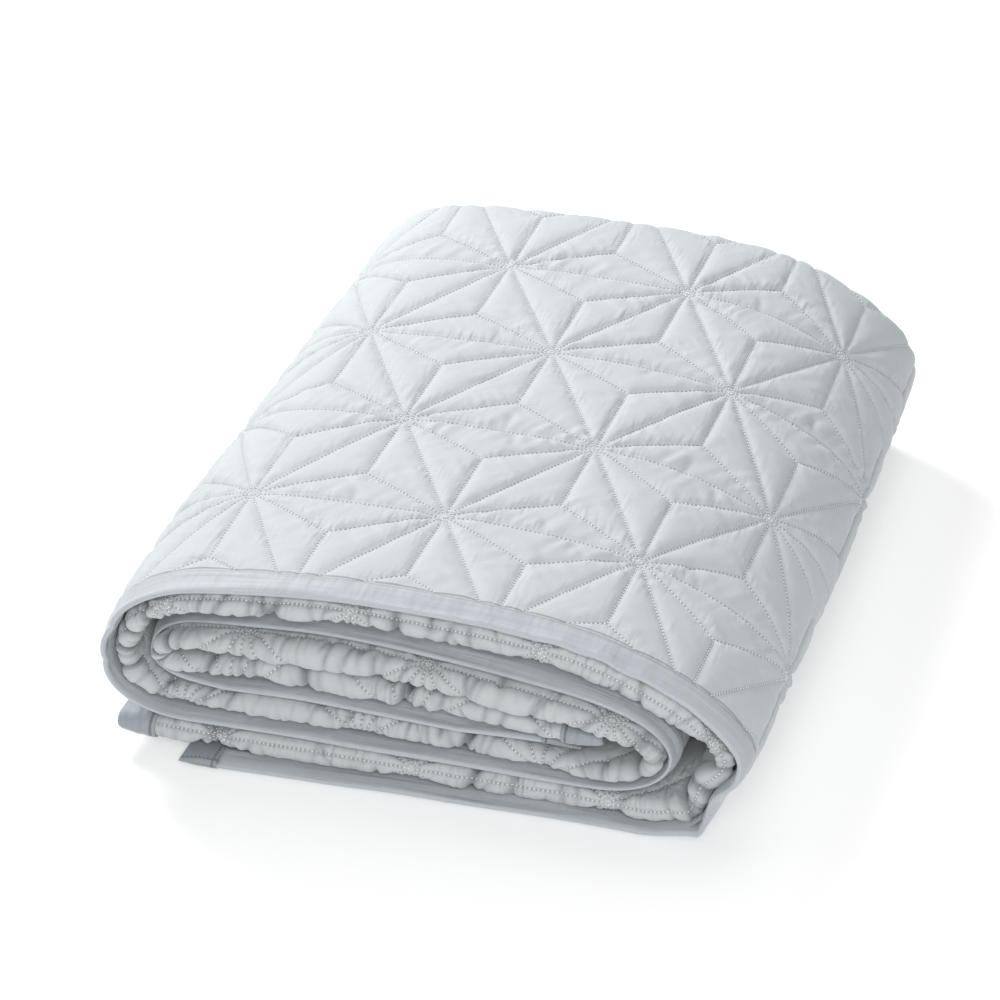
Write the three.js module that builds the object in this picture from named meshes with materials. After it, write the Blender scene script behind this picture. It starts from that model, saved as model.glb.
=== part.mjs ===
import * as THREE from 'three';

// A bound quilt, folded in three across its depth and then rolled flat into five passes.
// Millimetres, +Z up. X runs across the roll, Y from the open front end to the back folds.
// s is the distance along the roll from its outer free end, v the distance across the cloth
// from its front edge, and w the depth below the outer face of the folded stack.

// Padded cloth
const PLY = 8.4;
const PLY_PITCH = 9.65;
const DEPTH = 530;
const FRONT_REACH = 3;
const BACK_INSET = 22;

// Hemp-leaf quilting on a triangular net of stars
const STAR_PITCH = 128;
const STAR_ROW = (STAR_PITCH * Math.sqrt(3)) / 2;
const NET_STEPS = 6;
const STAR_ALONG = 660;
const STAR_ACROSS = 108.3;
const STITCH_DEPTH = 4.4;
const PUFF_REACH = 13;
const QUILTING_FADE = 45;

// Binding strips folded round a thinner margin of the quilt
const LONG_BINDING = 18;
const END_BINDING = 25;
const BINDING_CLOTH = 1.2;
const BINDING_GAP = 0.3;
const BINDING_CORNER = 1.4;
const MARGIN_PLY = 5;
const SHOULDER = 1.8;
const EDGE = BINDING_CLOTH + BINDING_GAP;
const LONG_MARGIN = LONG_BINDING + BINDING_GAP;
const END_MARGIN = END_BINDING + BINDING_GAP;
const ON_LINE = 0.01;

// Slip of the inner plies at the free ends
const OUTER_SLIP = -45;
const INNER_SLIP = 15;
const SLIP_RUN = 250;

// Settling of the whole bundle, by distance from the front edge: sunk at the front left, and
// narrower towards the back right, more so past the waist
const CORNER_SAG = 0.05;
const SAG_RUN = 100;
const SAG_LEFT = -190;
const SAG_RIGHT = -40;
const WAIST = 326;
const TAPER_START = 79;
const TAPER_BEFORE_WAIST = 0.025;
const TAPER_AFTER_WAIST = 0.052;
const HALF_WIDTH = 215;
const PLAN_MIDDLE = { x: -4.26, y: -3 };

// The roll, knot by knot from the outer free end: place of the outer face, heading as an angle in degrees,
// reach of the curve into and out of the knot, how hard the stack is pressed there and in the middle
// of the run that follows, y of the bound front edge, how far the front fold of the inner plies lies
// behind its usual place, and steps in the run that follows.
const ROLL = [
  { x: -161, z: 0, angle: 0, into: 0, out: 100, press: 0, mid: 0, edge: -271, fold: 9, steps: 3 },
  { x: 135, z: 0, angle: 0, into: 100, out: 48, press: 0, mid: 0, edge: -257, fold: 4, steps: 10 },
  { x: 117, z: 135, angle: 162, into: 172, out: 48, press: 0, mid: 0, edge: -259, fold: 2, steps: 5 },
  { x: -148, z: 149, angle: 190, into: 60, out: 76, press: 0.06, mid: 0.06, edge: -277, fold: 0, steps: 9 },
  { x: -163, z: 30, angle: 358, into: 87, out: 86, press: 0.12, mid: 0, edge: -263, fold: 2, steps: 5 },
  { x: 109, z: 29.5, angle: 0, into: 87, out: 53, press: 0.3, mid: 0.26, edge: -256, fold: 0, steps: 9 },
  { x: 116, z: 102, angle: 166, into: 81, out: 72, press: 0.17, mid: 0.05, edge: -259, fold: -11, steps: 5 },
  { x: -150, z: 113, angle: 187, into: 70, out: 46, press: 0.26, mid: 0.31, edge: -259, fold: -11, steps: 8 },
  { x: -155, z: 60, angle: 2, into: 46, out: 80, press: 0.28, mid: 0.03, edge: -261, fold: 0, steps: 4 },
  { x: 102, z: 58.5, angle: 2, into: 80, out: 0, press: 0.29, mid: 0.29, edge: -259, fold: -2, steps: 0 },
];
const PRESS_RUN = 0.25;
const ARC_STEPS = 400;
const TURN_STEPS = 5;
const QUILTED_FROM = 1;
const QUILTED_TO = 4;

const FACE_FINISH = { color: 0xd5dde0, roughness: 0.85, metalness: 0 };
const BINDING_FINISH = { color: 0xaab4bd, roughness: 0.75, metalness: 0 };

const { clamp, degToRad, lerp, smoothstep } = THREE.MathUtils;

// Roll path in XZ

function headingOf(knot) {
  const angle = degToRad(knot.angle);
  return new THREE.Vector2(Math.cos(angle), Math.sin(angle));
}

function makeRuns() {
  let start = 0;
  return ROLL.slice(0, -1).map((from, index) => {
    const to = ROLL[index + 1];
    const first = new THREE.Vector2(from.x, from.z);
    const last = new THREE.Vector2(to.x, to.z);
    const leave = first.clone().addScaledVector(headingOf(from), from.out);
    const arrive = last.clone().addScaledVector(headingOf(to), -to.into);
    const curve = new THREE.CubicBezierCurve(first, leave, arrive, last);
    curve.arcLengthDivisions = ARC_STEPS;
    const run = { from, to, curve, start, length: curve.getLength() };
    start += run.length;
    return run;
  });
}

const RUNS = makeRuns();
const LENGTH = RUNS[RUNS.length - 1].start + RUNS[RUNS.length - 1].length;

function pressAt(run, t) {
  const middle = run.from.mid;
  const leaving = lerp(run.from.press, middle, smoothstep(t, 0, PRESS_RUN));
  const arriving = lerp(middle, run.to.press, smoothstep(t, 1 - PRESS_RUN, 1));
  return t < 0.5 ? leaving : arriving;
}

// Place, outward direction, press, front edge and front fold of the stack at a distance s along the roll
function rollAt(s) {
  const inside = clamp(s, 0, LENGTH);
  const run = RUNS.findLast((candidate) => candidate.start <= inside);
  const t = clamp((inside - run.start) / run.length, 0, 1);
  const tangent = run.curve.getTangentAt(t);
  const point = run.curve.getPointAt(t).addScaledVector(tangent, s - inside);
  return {
    x: point.x,
    z: point.y,
    outX: tangent.y,
    outZ: -tangent.x,
    press: pressAt(run, t),
    edge: lerp(run.from.edge, run.to.edge, smoothstep(t, 0, 1)),
    fold: lerp(run.from.fold, run.to.fold, smoothstep(t, 0, 1)),
  };
}

// Fold in three across the depth: first ply, back turn, second ply, front turn, third ply

const TURN = PLY_PITCH / 2;
const TURN_OUTSIDE = TURN + PLY / 2;
const FRONT_TURN_Y = TURN_OUTSIDE - FRONT_REACH;
const FIRST_END = DEPTH - TURN_OUTSIDE;
const SECOND_START = FIRST_END + Math.PI * TURN;
const SECOND_END = SECOND_START + FIRST_END - FRONT_TURN_Y;
const THIRD_START = SECOND_END + Math.PI * TURN;
const WIDTH = THIRD_START + DEPTH - BACK_INSET - FRONT_TURN_Y;

// Middle of the cloth and the direction its face looks, as y and w, at a distance v across it
function foldAt(v) {
  const top = PLY / 2;
  if (v <= FIRST_END) {
    return { y: v, w: top, faceY: 0, faceW: -1 };
  }
  if (v < SECOND_START) {
    const turn = (v - FIRST_END) / TURN;
    const y = FIRST_END + TURN * Math.sin(turn);
    return { y, w: top + TURN - TURN * Math.cos(turn), faceY: Math.sin(turn), faceW: -Math.cos(turn) };
  }
  if (v <= SECOND_END) {
    return { y: FIRST_END - (v - SECOND_START), w: top + PLY_PITCH, faceY: 0, faceW: 1 };
  }
  if (v < THIRD_START) {
    const turn = (v - SECOND_END) / TURN;
    const w = top + PLY_PITCH + TURN - TURN * Math.cos(turn);
    return { y: FRONT_TURN_Y - TURN * Math.sin(turn), w, faceY: Math.sin(turn), faceW: Math.cos(turn) };
  }
  return { y: FRONT_TURN_Y + v - THIRD_START, w: top + 2 * PLY_PITCH, faceY: 0, faceW: -1 };
}

// The inner plies reach past the first one at both free ends
function slipAt(s, v) {
  const share = clamp((v - SECOND_START) / (SECOND_END - SECOND_START), 0, 1);
  const outer = OUTER_SLIP * (1 - smoothstep(s, 0, SLIP_RUN));
  const inner = INNER_SLIP * smoothstep(s, LENGTH - SLIP_RUN, LENGTH);
  return share * (outer + inner);
}

function settle(point, fromFront) {
  const beforeWaist = Math.min(fromFront, WAIST) - TAPER_START;
  const afterWaist = Math.max(fromFront - WAIST, 0);
  const taper = TAPER_BEFORE_WAIST * beforeWaist + TAPER_AFTER_WAIST * afterWaist;
  const right = smoothstep(point.x, 0, HALF_WIDTH);
  const left = 1 - smoothstep(point.x, SAG_LEFT, SAG_RIGHT);
  const front = 1 - clamp(fromFront / SAG_RUN, 0, 1);
  point.z *= 1 - CORNER_SAG * front * left;
  point.x -= taper * right + PLAN_MIDDLE.x;
  point.y -= PLAN_MIDDLE.y;
  return point;
}

// Point at s and v, lifted from the middle of the cloth towards its face
function place(s, v, lift) {
  const fold = foldAt(v);
  const roll = rollAt(s + slipAt(s, v));
  const toFront = v < SECOND_START ? 0 : (FIRST_END - fold.y) / (FIRST_END - FRONT_TURN_Y);
  const y = fold.y + fold.faceY * lift + roll.fold * toFront;
  const w = (fold.w + fold.faceW * lift) * (1 - roll.press);
  const point = new THREE.Vector3(roll.x - roll.outX * w, roll.edge + y, roll.z - roll.outZ * w);
  return settle(point, y);
}

// Quilting

// Distance to the nearest stitch line. The lines are the edges of the star net and the three lines
// from the middle of each of its triangles to the corners.
function stitchDistance(s, v) {
  const across = (v - STAR_ACROSS) / STAR_ROW;
  const along = (s - STAR_ALONG) / STAR_PITCH - across / 2;
  const rise = across - Math.floor(across);
  const lean = along - Math.floor(along);
  const upright = rise + lean < 1;
  const sides = upright ? [rise, lean, 1 - rise - lean] : [1 - rise, 1 - lean, rise + lean - 1];
  sides.sort((a, b) => a - b);
  return STAR_ROW * Math.min(sides[0], (sides[1] - sides[0]) / Math.sqrt(3));
}

const QUILTED_START = RUNS[QUILTED_FROM].start;
const QUILTED_END = RUNS[QUILTED_TO].start;

// Half the thickness of the cloth, thin in the bound margins
function halfPly(s, v) {
  const pastLong = Math.min(v, WIDTH - v) - LONG_MARGIN;
  const pastEnd = Math.min(s, LENGTH - s) - END_MARGIN;
  return (Math.min(pastLong, pastEnd) < BINDING_GAP ? MARGIN_PLY : PLY) / 2;
}

// The outer face sinks to the stitch lines where it shows; it is flat on the floor
function faceLift(s, v) {
  const half = halfPly(s, v);
  if (v > FIRST_END || half < PLY / 2) {
    return half;
  }
  const shown = Math.min(s - QUILTED_START, QUILTED_END - s) / QUILTING_FADE;
  const puff = clamp(stitchDistance(s, v) / PUFF_REACH, 0, 1);
  return half - STITCH_DEPTH * clamp(shown, 0, 1) * (1 - puff) ** 2;
}

// Closed skins made of rows of points

// A row lies at one place across its piece and has a point at each mark along it
function addRow(skin, at, marks, pointAt) {
  const first = skin.points.length;
  marks.forEach((mark) => skin.points.push(pointAt(mark)));
  return { at, marks, points: marks.map((mark, index) => first + index) };
}

// Triangles between two rows, whatever marks each of them has
function zip(skin, one, two) {
  let i = 0;
  let j = 0;
  while (i < one.marks.length - 1 || j < two.marks.length - 1) {
    const oneNext = one.marks[i + 1] ?? Infinity;
    const twoNext = two.marks[j + 1] ?? Infinity;
    if (oneNext <= twoNext) {
      skin.triangles.push([one.points[i], one.points[i + 1], two.points[j]]);
      i += 1;
    } else {
      skin.triangles.push([one.points[i], two.points[j + 1], two.points[j]]);
      j += 1;
    }
  }
}

// The row that the first or last points of several rows make across the piece
function endRow(rows, which) {
  return { marks: rows.map((row) => row.at), points: rows.map((row) => row.points.at(which)) };
}

function closeSkin(skin, outside, inside) {
  const loop = [...outside, ...inside.toReversed(), outside[0]];
  loop.slice(1).forEach((row, index) => zip(skin, loop[index], row));
  zip(skin, endRow(outside, 0), endRow(inside, 0));
  zip(skin, endRow(inside, -1), endRow(outside, -1));
}

// Turn each edge that crosses a stitch line so that it lies along the line
function turnEdgesToStitches(skin, cloth) {
  const owners = new Map();
  const key = (a, b) => `${Math.min(a, b)} ${Math.max(a, b)}`;
  const sidesOf = (triangle) => triangle.map((corner, index) => [corner, triangle[(index + 1) % 3]]);
  const own = (triangle) => {
    sidesOf(triangle).forEach(([a, b]) => {
      owners.set(key(a, b), [...(owners.get(key(a, b)) ?? []), triangle]);
    });
  };
  const halfway = (a, b) => {
    const one = cloth.get(a);
    const two = cloth.get(b);
    return one && two ? new THREE.Vector2(one.s + two.s, one.v + two.v).multiplyScalar(0.5) : null;
  };
  const crosses = (a, b, near, far) => {
    const middle = halfway(a, b);
    const other = halfway(near, far);
    if (!middle || !other || middle.distanceTo(other) > ON_LINE) {
      return false;
    }
    const end = cloth.get(a);
    return stitchDistance(middle.x, middle.y) < ON_LINE && stitchDistance(end.s, end.v) > ON_LINE;
  };
  skin.triangles.forEach(own);
  owners.forEach(([one, two], side) => {
    const [a, b] = side.split(' ').map(Number);
    const near = one.find((corner) => corner !== a && corner !== b);
    const far = two.find((corner) => corner !== a && corner !== b);
    if (!crosses(a, b, near, far)) {
      return;
    }
    const start = one[(one.indexOf(near) + 1) % 3];
    const end = one[(one.indexOf(near) + 2) % 3];
    one.splice(0, 3, near, start, far);
    two.splice(0, 3, near, far, end);
  });
}

// Six times the volume that the triangles close in, negative where they face inwards
function facing(skin) {
  const volumeOf = ([a, b, c]) => skin.points[a].clone().cross(skin.points[b]).dot(skin.points[c]);
  return skin.triangles.reduce((sum, triangle) => sum + volumeOf(triangle), 0);
}

function meshFrom(name, skin, finish) {
  const geometry = new THREE.BufferGeometry();
  const inwards = facing(skin) < 0;
  const corners = skin.triangles.flatMap(([a, b, c]) => (inwards ? [a, c, b] : [a, b, c]));
  const flat = skin.points.flatMap((point) => [point.x, point.y, point.z]);
  geometry.setAttribute('position', new THREE.Float32BufferAttribute(flat, 3));
  geometry.setIndex(corners);
  geometry.computeVertexNormals();
  const mesh = new THREE.Mesh(geometry, new THREE.MeshStandardMaterial(finish));
  mesh.name = name;
  return mesh;
}

// Marks along the roll and across the cloth

function spread(from, to, steps) {
  return Array.from({ length: steps + 1 }, (unused, index) => lerp(from, to, index / steps));
}

function count(from, to) {
  return Array.from({ length: to - from + 1 }, (unused, index) => from + index);
}

function rollMarks() {
  const marks = RUNS.flatMap((run) => spread(run.start, run.start + run.length, run.from.steps).slice(1));
  const clear = END_MARGIN + 2 * SHOULDER;
  return marks.filter((mark) => mark > clear && mark < LENGTH - clear);
}

const COARSE = rollMarks();
const STRIP_MARKS = [END_MARGIN, ...COARSE, LENGTH - END_MARGIN];
const QUILT_MARKS = [
  EDGE,
  END_MARGIN,
  END_MARGIN + SHOULDER,
  ...COARSE,
  LENGTH - END_MARGIN - SHOULDER,
  LENGTH - END_MARGIN,
  LENGTH - EDGE,
];

// Net marks along one row of the quilting, with the coarse marks on both sides of them
function netMarks(step) {
  const pitch = STAR_PITCH / NET_STEPS;
  const shift = STAR_ALONG + (step % 2 === 0 ? 0 : pitch / 2);
  const from = Math.ceil((QUILTED_START - shift) / pitch);
  const to = Math.floor((QUILTED_END - shift) / pitch);
  const net = count(from, to).map((index) => shift + index * pitch);
  const before = QUILT_MARKS.filter((mark) => mark < net[0] - pitch / 2);
  const after = QUILT_MARKS.filter((mark) => mark > net.at(-1) + pitch / 2);
  return [...before, ...net, ...after];
}

const FRONT_MARGIN = [EDGE, LONG_MARGIN];
const FIRST_PLY = [SAG_RUN, WAIST];
const FOLDS = [
  ...spread(FIRST_END, SECOND_START, TURN_STEPS),
  ...FIRST_PLY.map((y) => SECOND_START + FIRST_END - y).toReversed(),
  ...spread(SECOND_END, THIRD_START, TURN_STEPS),
  ...FIRST_PLY.map((y) => THIRD_START + y - FRONT_TURN_Y),
];
const BACK_MARGIN = [WIDTH - LONG_MARGIN - SHOULDER, WIDTH - LONG_MARGIN, WIDTH - EDGE];

// Quilt

function makeQuilt() {
  const skin = { points: [], triangles: [] };
  const cloth = new Map();
  const faceRow = (v, marks) => addRow(skin, v, marks, (s) => place(s, v, faceLift(s, v)));
  const netRow = (step) => {
    const v = STAR_ACROSS + (step * STAR_ROW) / NET_STEPS;
    const row = faceRow(v, netMarks(step));
    row.points.forEach((point, index) => cloth.set(point, { s: row.marks[index], v }));
    return row;
  };
  const step = STAR_ROW / NET_STEPS;
  const firstStep = Math.ceil((LONG_MARGIN + BINDING_GAP - STAR_ACROSS) / step);
  const lastStep = Math.floor((FIRST_END - STAR_ACROSS) / step);
  const face = [
    ...FRONT_MARGIN.map((v) => faceRow(v, QUILT_MARKS)),
    ...count(firstStep, lastStep).map(netRow),
    ...[...FOLDS, ...BACK_MARGIN].map((v) => faceRow(v, QUILT_MARKS)),
  ];
  const reverseMarks = [...FRONT_MARGIN, LONG_MARGIN + SHOULDER, ...FIRST_PLY, ...FOLDS, ...BACK_MARGIN];
  const reverse = reverseMarks.map((v) => addRow(skin, v, QUILT_MARKS, (s) => place(s, v, -halfPly(s, v))));
  closeSkin(skin, face, reverse);
  turnEdgesToStitches(skin, cloth);
  return meshFrom('quilt', skin, FACE_FINISH);
}

// Bindings

// Outside and inside of a folded strip: distance in from the bound edge, and lift from the middle
function stripSection(width) {
  const inside = MARGIN_PLY / 2 + BINDING_GAP;
  const outside = inside + BINDING_CLOTH;
  const leg = (lift, end) => [width, end].map((stop) => ({ stop, lift }));
  const round = outside - BINDING_CORNER;
  const web = [
    { stop: 0, lift: round },
    { stop: 0, lift: -round },
  ];
  return {
    outer: [...leg(outside, BINDING_CORNER), ...web, ...leg(-outside, BINDING_CORNER).toReversed()],
    inner: [...leg(inside, BINDING_CLOTH), ...leg(-inside, BINDING_CLOTH).toReversed()],
  };
}

function makeStrip(name, width, marks, pointAt) {
  const skin = { points: [], triangles: [] };
  const { outer, inner } = stripSection(width);
  const rowsOf = (section) =>
    section.map(({ stop, lift }, index) => {
      return addRow(skin, index / (section.length - 1), marks, (mark) => pointAt(mark, stop, lift));
    });
  closeSkin(skin, rowsOf(outer), rowsOf(inner));
  return meshFrom(name, skin, BINDING_FINISH);
}

const ACROSS_MARKS = [0, ...FIRST_PLY, ...FOLDS, WIDTH];

function makeBindings() {
  const frontEdge = (s, stop, lift) => place(s, stop, lift);
  const backEdge = (s, stop, lift) => place(s, WIDTH - stop, lift);
  const outerEnd = (v, stop, lift) => place(stop, v, lift);
  const innerEnd = (v, stop, lift) => place(LENGTH - stop, v, lift);
  return [
    makeStrip('binding_front', LONG_BINDING, STRIP_MARKS, frontEdge),
    makeStrip('binding_back', LONG_BINDING, STRIP_MARKS, backEdge),
    makeStrip('binding_outer_end', END_BINDING, ACROSS_MARKS, outerEnd),
    makeStrip('binding_inner_end', END_BINDING, ACROSS_MARKS, innerEnd),
  ];
}

const foldedQuilt = new THREE.Group();
foldedQuilt.add(makeQuilt(), ...makeBindings());

export default foldedQuilt;
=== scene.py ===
import bpy
import numpy as np
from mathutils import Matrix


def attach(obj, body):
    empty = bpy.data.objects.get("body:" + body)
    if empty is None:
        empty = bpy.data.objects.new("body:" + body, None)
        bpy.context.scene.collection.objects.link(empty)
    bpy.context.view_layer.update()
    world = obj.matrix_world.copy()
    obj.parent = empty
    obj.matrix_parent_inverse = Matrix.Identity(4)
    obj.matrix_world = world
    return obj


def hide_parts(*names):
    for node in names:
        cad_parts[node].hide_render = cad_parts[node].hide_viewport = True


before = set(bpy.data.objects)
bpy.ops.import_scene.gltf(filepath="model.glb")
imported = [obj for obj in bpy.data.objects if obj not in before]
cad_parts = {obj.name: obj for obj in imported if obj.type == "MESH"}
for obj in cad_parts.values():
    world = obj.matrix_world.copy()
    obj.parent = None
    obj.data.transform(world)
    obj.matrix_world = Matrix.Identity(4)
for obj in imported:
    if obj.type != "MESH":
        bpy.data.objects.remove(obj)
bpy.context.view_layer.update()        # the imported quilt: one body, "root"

mm = 0.001               # the fold is worked out in millimetres, and the meshes are in metres
print("frame loaded:", ", ".join(sorted(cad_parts)))


def table(columns, *rows):
    return [dict(zip(columns.split(), row)) for row in rows]


# Fold and roll of the padded cloth
# s runs along the roll from its outer free end, v across the cloth from its front edge,
# and w is the depth below the outer face of the folded stack

clothSizes = {
    "ply": 8.4, "plyPitch": 9.65, "marginPly": 5.0, "depth": 530.0,
    "frontReach": 3.0, "backInset": 22.0,
    "outerSlip": -45.0, "innerSlip": 15.0, "slipRun": 250.0,
    "cornerSag": 0.05, "sagRun": 100.0, "sagLeft": -190.0, "sagRight": -40.0,
    "waist": 326.0, "taperStart": 79.0, "taperBefore": 0.025, "taperAfter": 0.052, "halfWidth": 215.0,
    "middleX": -4.26, "middleY": -3.0,
}
rollKnots = table(
    "x z angle into out press mid edge fold",
    (-161, 0, 0, 0, 100, 0, 0, -271, 9),  # outer free end, on the floor
    (135, 0, 0, 100, 48, 0, 0, -257, 4),
    (117, 135, 162, 172, 48, 0, 0, -259, 2),  # top, past the right outer fold
    (-148, 149, 190, 60, 76, 0.06, 0.06, -277, 0),
    (-163, 30, 358, 87, 86, 0.12, 0, -263, 2),  # past the left outer fold
    (109, 29.5, 0, 87, 53, 0.3, 0.26, -256, 0),
    (116, 102, 166, 81, 72, 0.17, 0.05, -259, -11),  # past the right inner fold
    (-150, 113, 187, 70, 46, 0.26, 0.31, -259, -11),
    (-155, 60, 2, 46, 80, 0.28, 0.03, -261, 0),  # past the left inner fold
    (102, 58.5, 2, 80, 0, 0.29, 0.29, -259, -2),  # inner free end
)
pressRun = 0.25          # share of a run over which the press changes at each end
arcSteps = 400
scatter = {"step": 12.9898, "seed": 78.233, "spread": 43758.5453, "row": 17.3}


def smooth(x, low, high):
    t = np.clip((x - low) / (high - low), 0, 1)
    return t * t * (3 - 2 * t)


def bell(x, reach):      # 1 at x = 0, and soon 0 past the reach
    return np.exp(-(x / reach) ** 2)


def noise(x, seed):      # soft random numbers from -1 to 1, a new one at each whole x
    cell = np.floor(x)

    def at(k):
        wild = np.sin(k * scatter["step"] + seed * scatter["seed"]) * scatter["spread"]
        return 2 * (wild - np.floor(wild)) - 1

    return at(cell) + (at(cell + 1) - at(cell)) * smooth(x - cell, 0, 1)


def noiseShare(x, seed):  # the same from 0 to 1
    return 0.5 + 0.5 * noise(x, seed)


def noise2(x, y, seed):
    row = np.floor(y)
    one, two = (noise(x + scatter["row"] * (row + k), seed) for k in (0, 1))
    return one + (two - one) * smooth(y - row, 0, 1)


def bezierAt(run, t):
    a, b, c, d = run["points"]
    t = t[:, None]
    point = a * (1 - t) ** 3 + 3 * b * t * (1 - t) ** 2 + 3 * c * t * t * (1 - t) + d * t ** 3
    speed = (b - a) * (1 - t) ** 2 + 2 * (c - b) * t * (1 - t) + (d - c) * t * t
    return point, speed / np.linalg.norm(speed, axis=1)[:, None]


def bezierRun(one, two, start):
    leaving, arriving = np.radians([one["angle"], two["angle"]])
    first = np.array([one["x"], one["z"]], float)
    last = np.array([two["x"], two["z"]], float)
    leave = first + one["out"] * np.array([np.cos(leaving), np.sin(leaving)])
    arrive = last - two["into"] * np.array([np.cos(arriving), np.sin(arriving)])
    run = {"from": one, "to": two, "points": (first, leave, arrive, last), "start": start}
    run["t"] = np.linspace(0, 1, arcSteps + 1)
    steps = np.linalg.norm(np.diff(bezierAt(run, run["t"])[0], axis=0), axis=1)
    run["arc"] = np.concatenate([[0], np.cumsum(steps)])
    run["length"] = run["arc"][-1]
    return run


runs = []
rollLength = 0.0
for knot, nextKnot in zip(rollKnots, rollKnots[1:]):
    runs.append(bezierRun(knot, nextKnot, rollLength))
    rollLength += runs[-1]["length"]
runStarts = np.array([run["start"] for run in runs])


def rollAt(s):           # outer face of the stack: place, outward direction, press, front edge, fold
    inside = np.clip(s, 0, rollLength)
    which = np.searchsorted(runStarts, inside, side="right") - 1
    found = {key: np.zeros(len(s)) for key in ("x", "z", "outX", "outZ", "press", "edge", "fold")}
    for index, run in enumerate(runs):
        pick = which == index
        one, two = run["from"], run["to"]
        arc = inside[pick] - run["start"]
        share = np.clip(arc / run["length"], 0, 1)
        point, tangent = bezierAt(run, np.interp(arc, run["arc"], run["t"]))
        point = point + tangent * (s[pick] - inside[pick])[:, None]
        found["x"][pick], found["z"][pick] = point.T
        found["outX"][pick], found["outZ"][pick] = tangent[:, 1], -tangent[:, 0]
        leaving = one["press"] + (one["mid"] - one["press"]) * smooth(share, 0, pressRun)
        arriving = one["mid"] + (two["press"] - one["mid"]) * smooth(share, 1 - pressRun, 1)
        found["press"][pick] = np.where(share < 0.5, leaving, arriving)
        for key in ("edge", "fold"):
            found[key][pick] = one[key] + (two[key] - one[key]) * smooth(share, 0, 1)
    return found


turn = clothSizes["plyPitch"] / 2
turnOutside = turn + clothSizes["ply"] / 2
frontTurnY = turnOutside - clothSizes["frontReach"]
firstEnd = clothSizes["depth"] - turnOutside
secondStart = firstEnd + np.pi * turn
secondEnd = secondStart + firstEnd - frontTurnY
thirdStart = secondEnd + np.pi * turn
frontTurn = (secondEnd + thirdStart) / 2
clothWidth = thirdStart + clothSizes["depth"] - clothSizes["backInset"] - frontTurnY


def foldAt(v):           # middle of the cloth as y and w, and the way its face looks there
    backTurned = np.clip((v - firstEnd) / turn, 0, np.pi)
    frontTurned = np.clip((v - secondEnd) / turn, 0, np.pi)
    first = np.minimum(v, firstEnd) + turn * np.sin(backTurned)
    second = firstEnd - np.clip(v - secondStart, 0, secondEnd - secondStart)
    second = second + turn * (np.sin(backTurned) - np.sin(frontTurned))
    third = frontTurnY + np.clip(v - thirdStart, 0, None) - turn * np.sin(frontTurned)
    y = np.where(v < (firstEnd + secondStart) / 2, first, np.where(v < frontTurn, second, third))
    w = clothSizes["ply"] / 2 + turn * (2 - np.cos(backTurned) - np.cos(frontTurned))
    faceY = np.sin(backTurned) + np.sin(frontTurned)
    faceW = np.where(v > secondEnd, np.cos(frontTurned), -np.cos(backTurned))
    return y, w, faceY, faceW


def slipAt(s, v):        # the inner plies reach past the first one at both free ends
    share = np.clip((v - secondStart) / (secondEnd - secondStart), 0, 1)
    outer = clothSizes["outerSlip"] * (1 - smooth(s, 0, clothSizes["slipRun"]))
    inner = clothSizes["innerSlip"] * smooth(s, rollLength - clothSizes["slipRun"], rollLength)
    return share * (outer + inner)


# Looseness that the solids leave out: wavy edges, uneven rolls and the pinched corner at the right

looseness = {
    "edgeWave": 2.0, "edgeReach": 40.0, "edgeLength": 95.0,
    "rollWave": 1.8, "rollReach": 40.0, "rollLength": 62.0,
    "bandWave": 0.9, "bandLength": 48.0,
    "flutter": 1.3, "flutterLength": 15.0, "flutterReach": 9.0,
    "flutterIn": (340.0, 400.0), "flutterOut": (520.0, 640.0),
    "sinkReach": 24.0, "riseAt": 36.0, "riseReach": 20.0,
}
pinches = table(
    "s spread power pushX pushZ reach",
    (342, 13, 1, 3.0, -8.0, 50),  # sharp corner where the lowest pass leaves the floor
    (374, 20, 2, -9.0, -1.0, 60),  # the cloth above it is drawn in
    (412, 20, 2, 3.0, 0.0, 80),
    (872, 9, 1, 3.0, 0.5, 35),  # small tucks in the left outer fold
    (905, 8, 1, 2.5, 1.5, 30),
)
edgeRests = table(       # how far the bound edge sinks towards its roll and the cloth behind it rises
    "s sink rise",
    (230, 0, 0),
    (380, 2.6, 0),
    (760, 2.6, 0),  # top pass
    (880, 2.6, 0),
    (985, -1.5, 0),  # second pass from the floor: the edge hangs onto the one below
    (1240, -1.5, 0),
    (1330, 2.6, 0),
    (1400, 2.0, 5.0),  # inner top pass
    (1630, 2.0, 5.0),
    (1700, 2.6, 0),
    (1770, -4.5, 0),  # inner lower pass
    (1925, -4.5, 0),
    (1985, 0, 0),
)


def edgeRest(s, key):
    return np.interp(s, [row["s"] for row in edgeRests], [row[key] for row in edgeRests])


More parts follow.
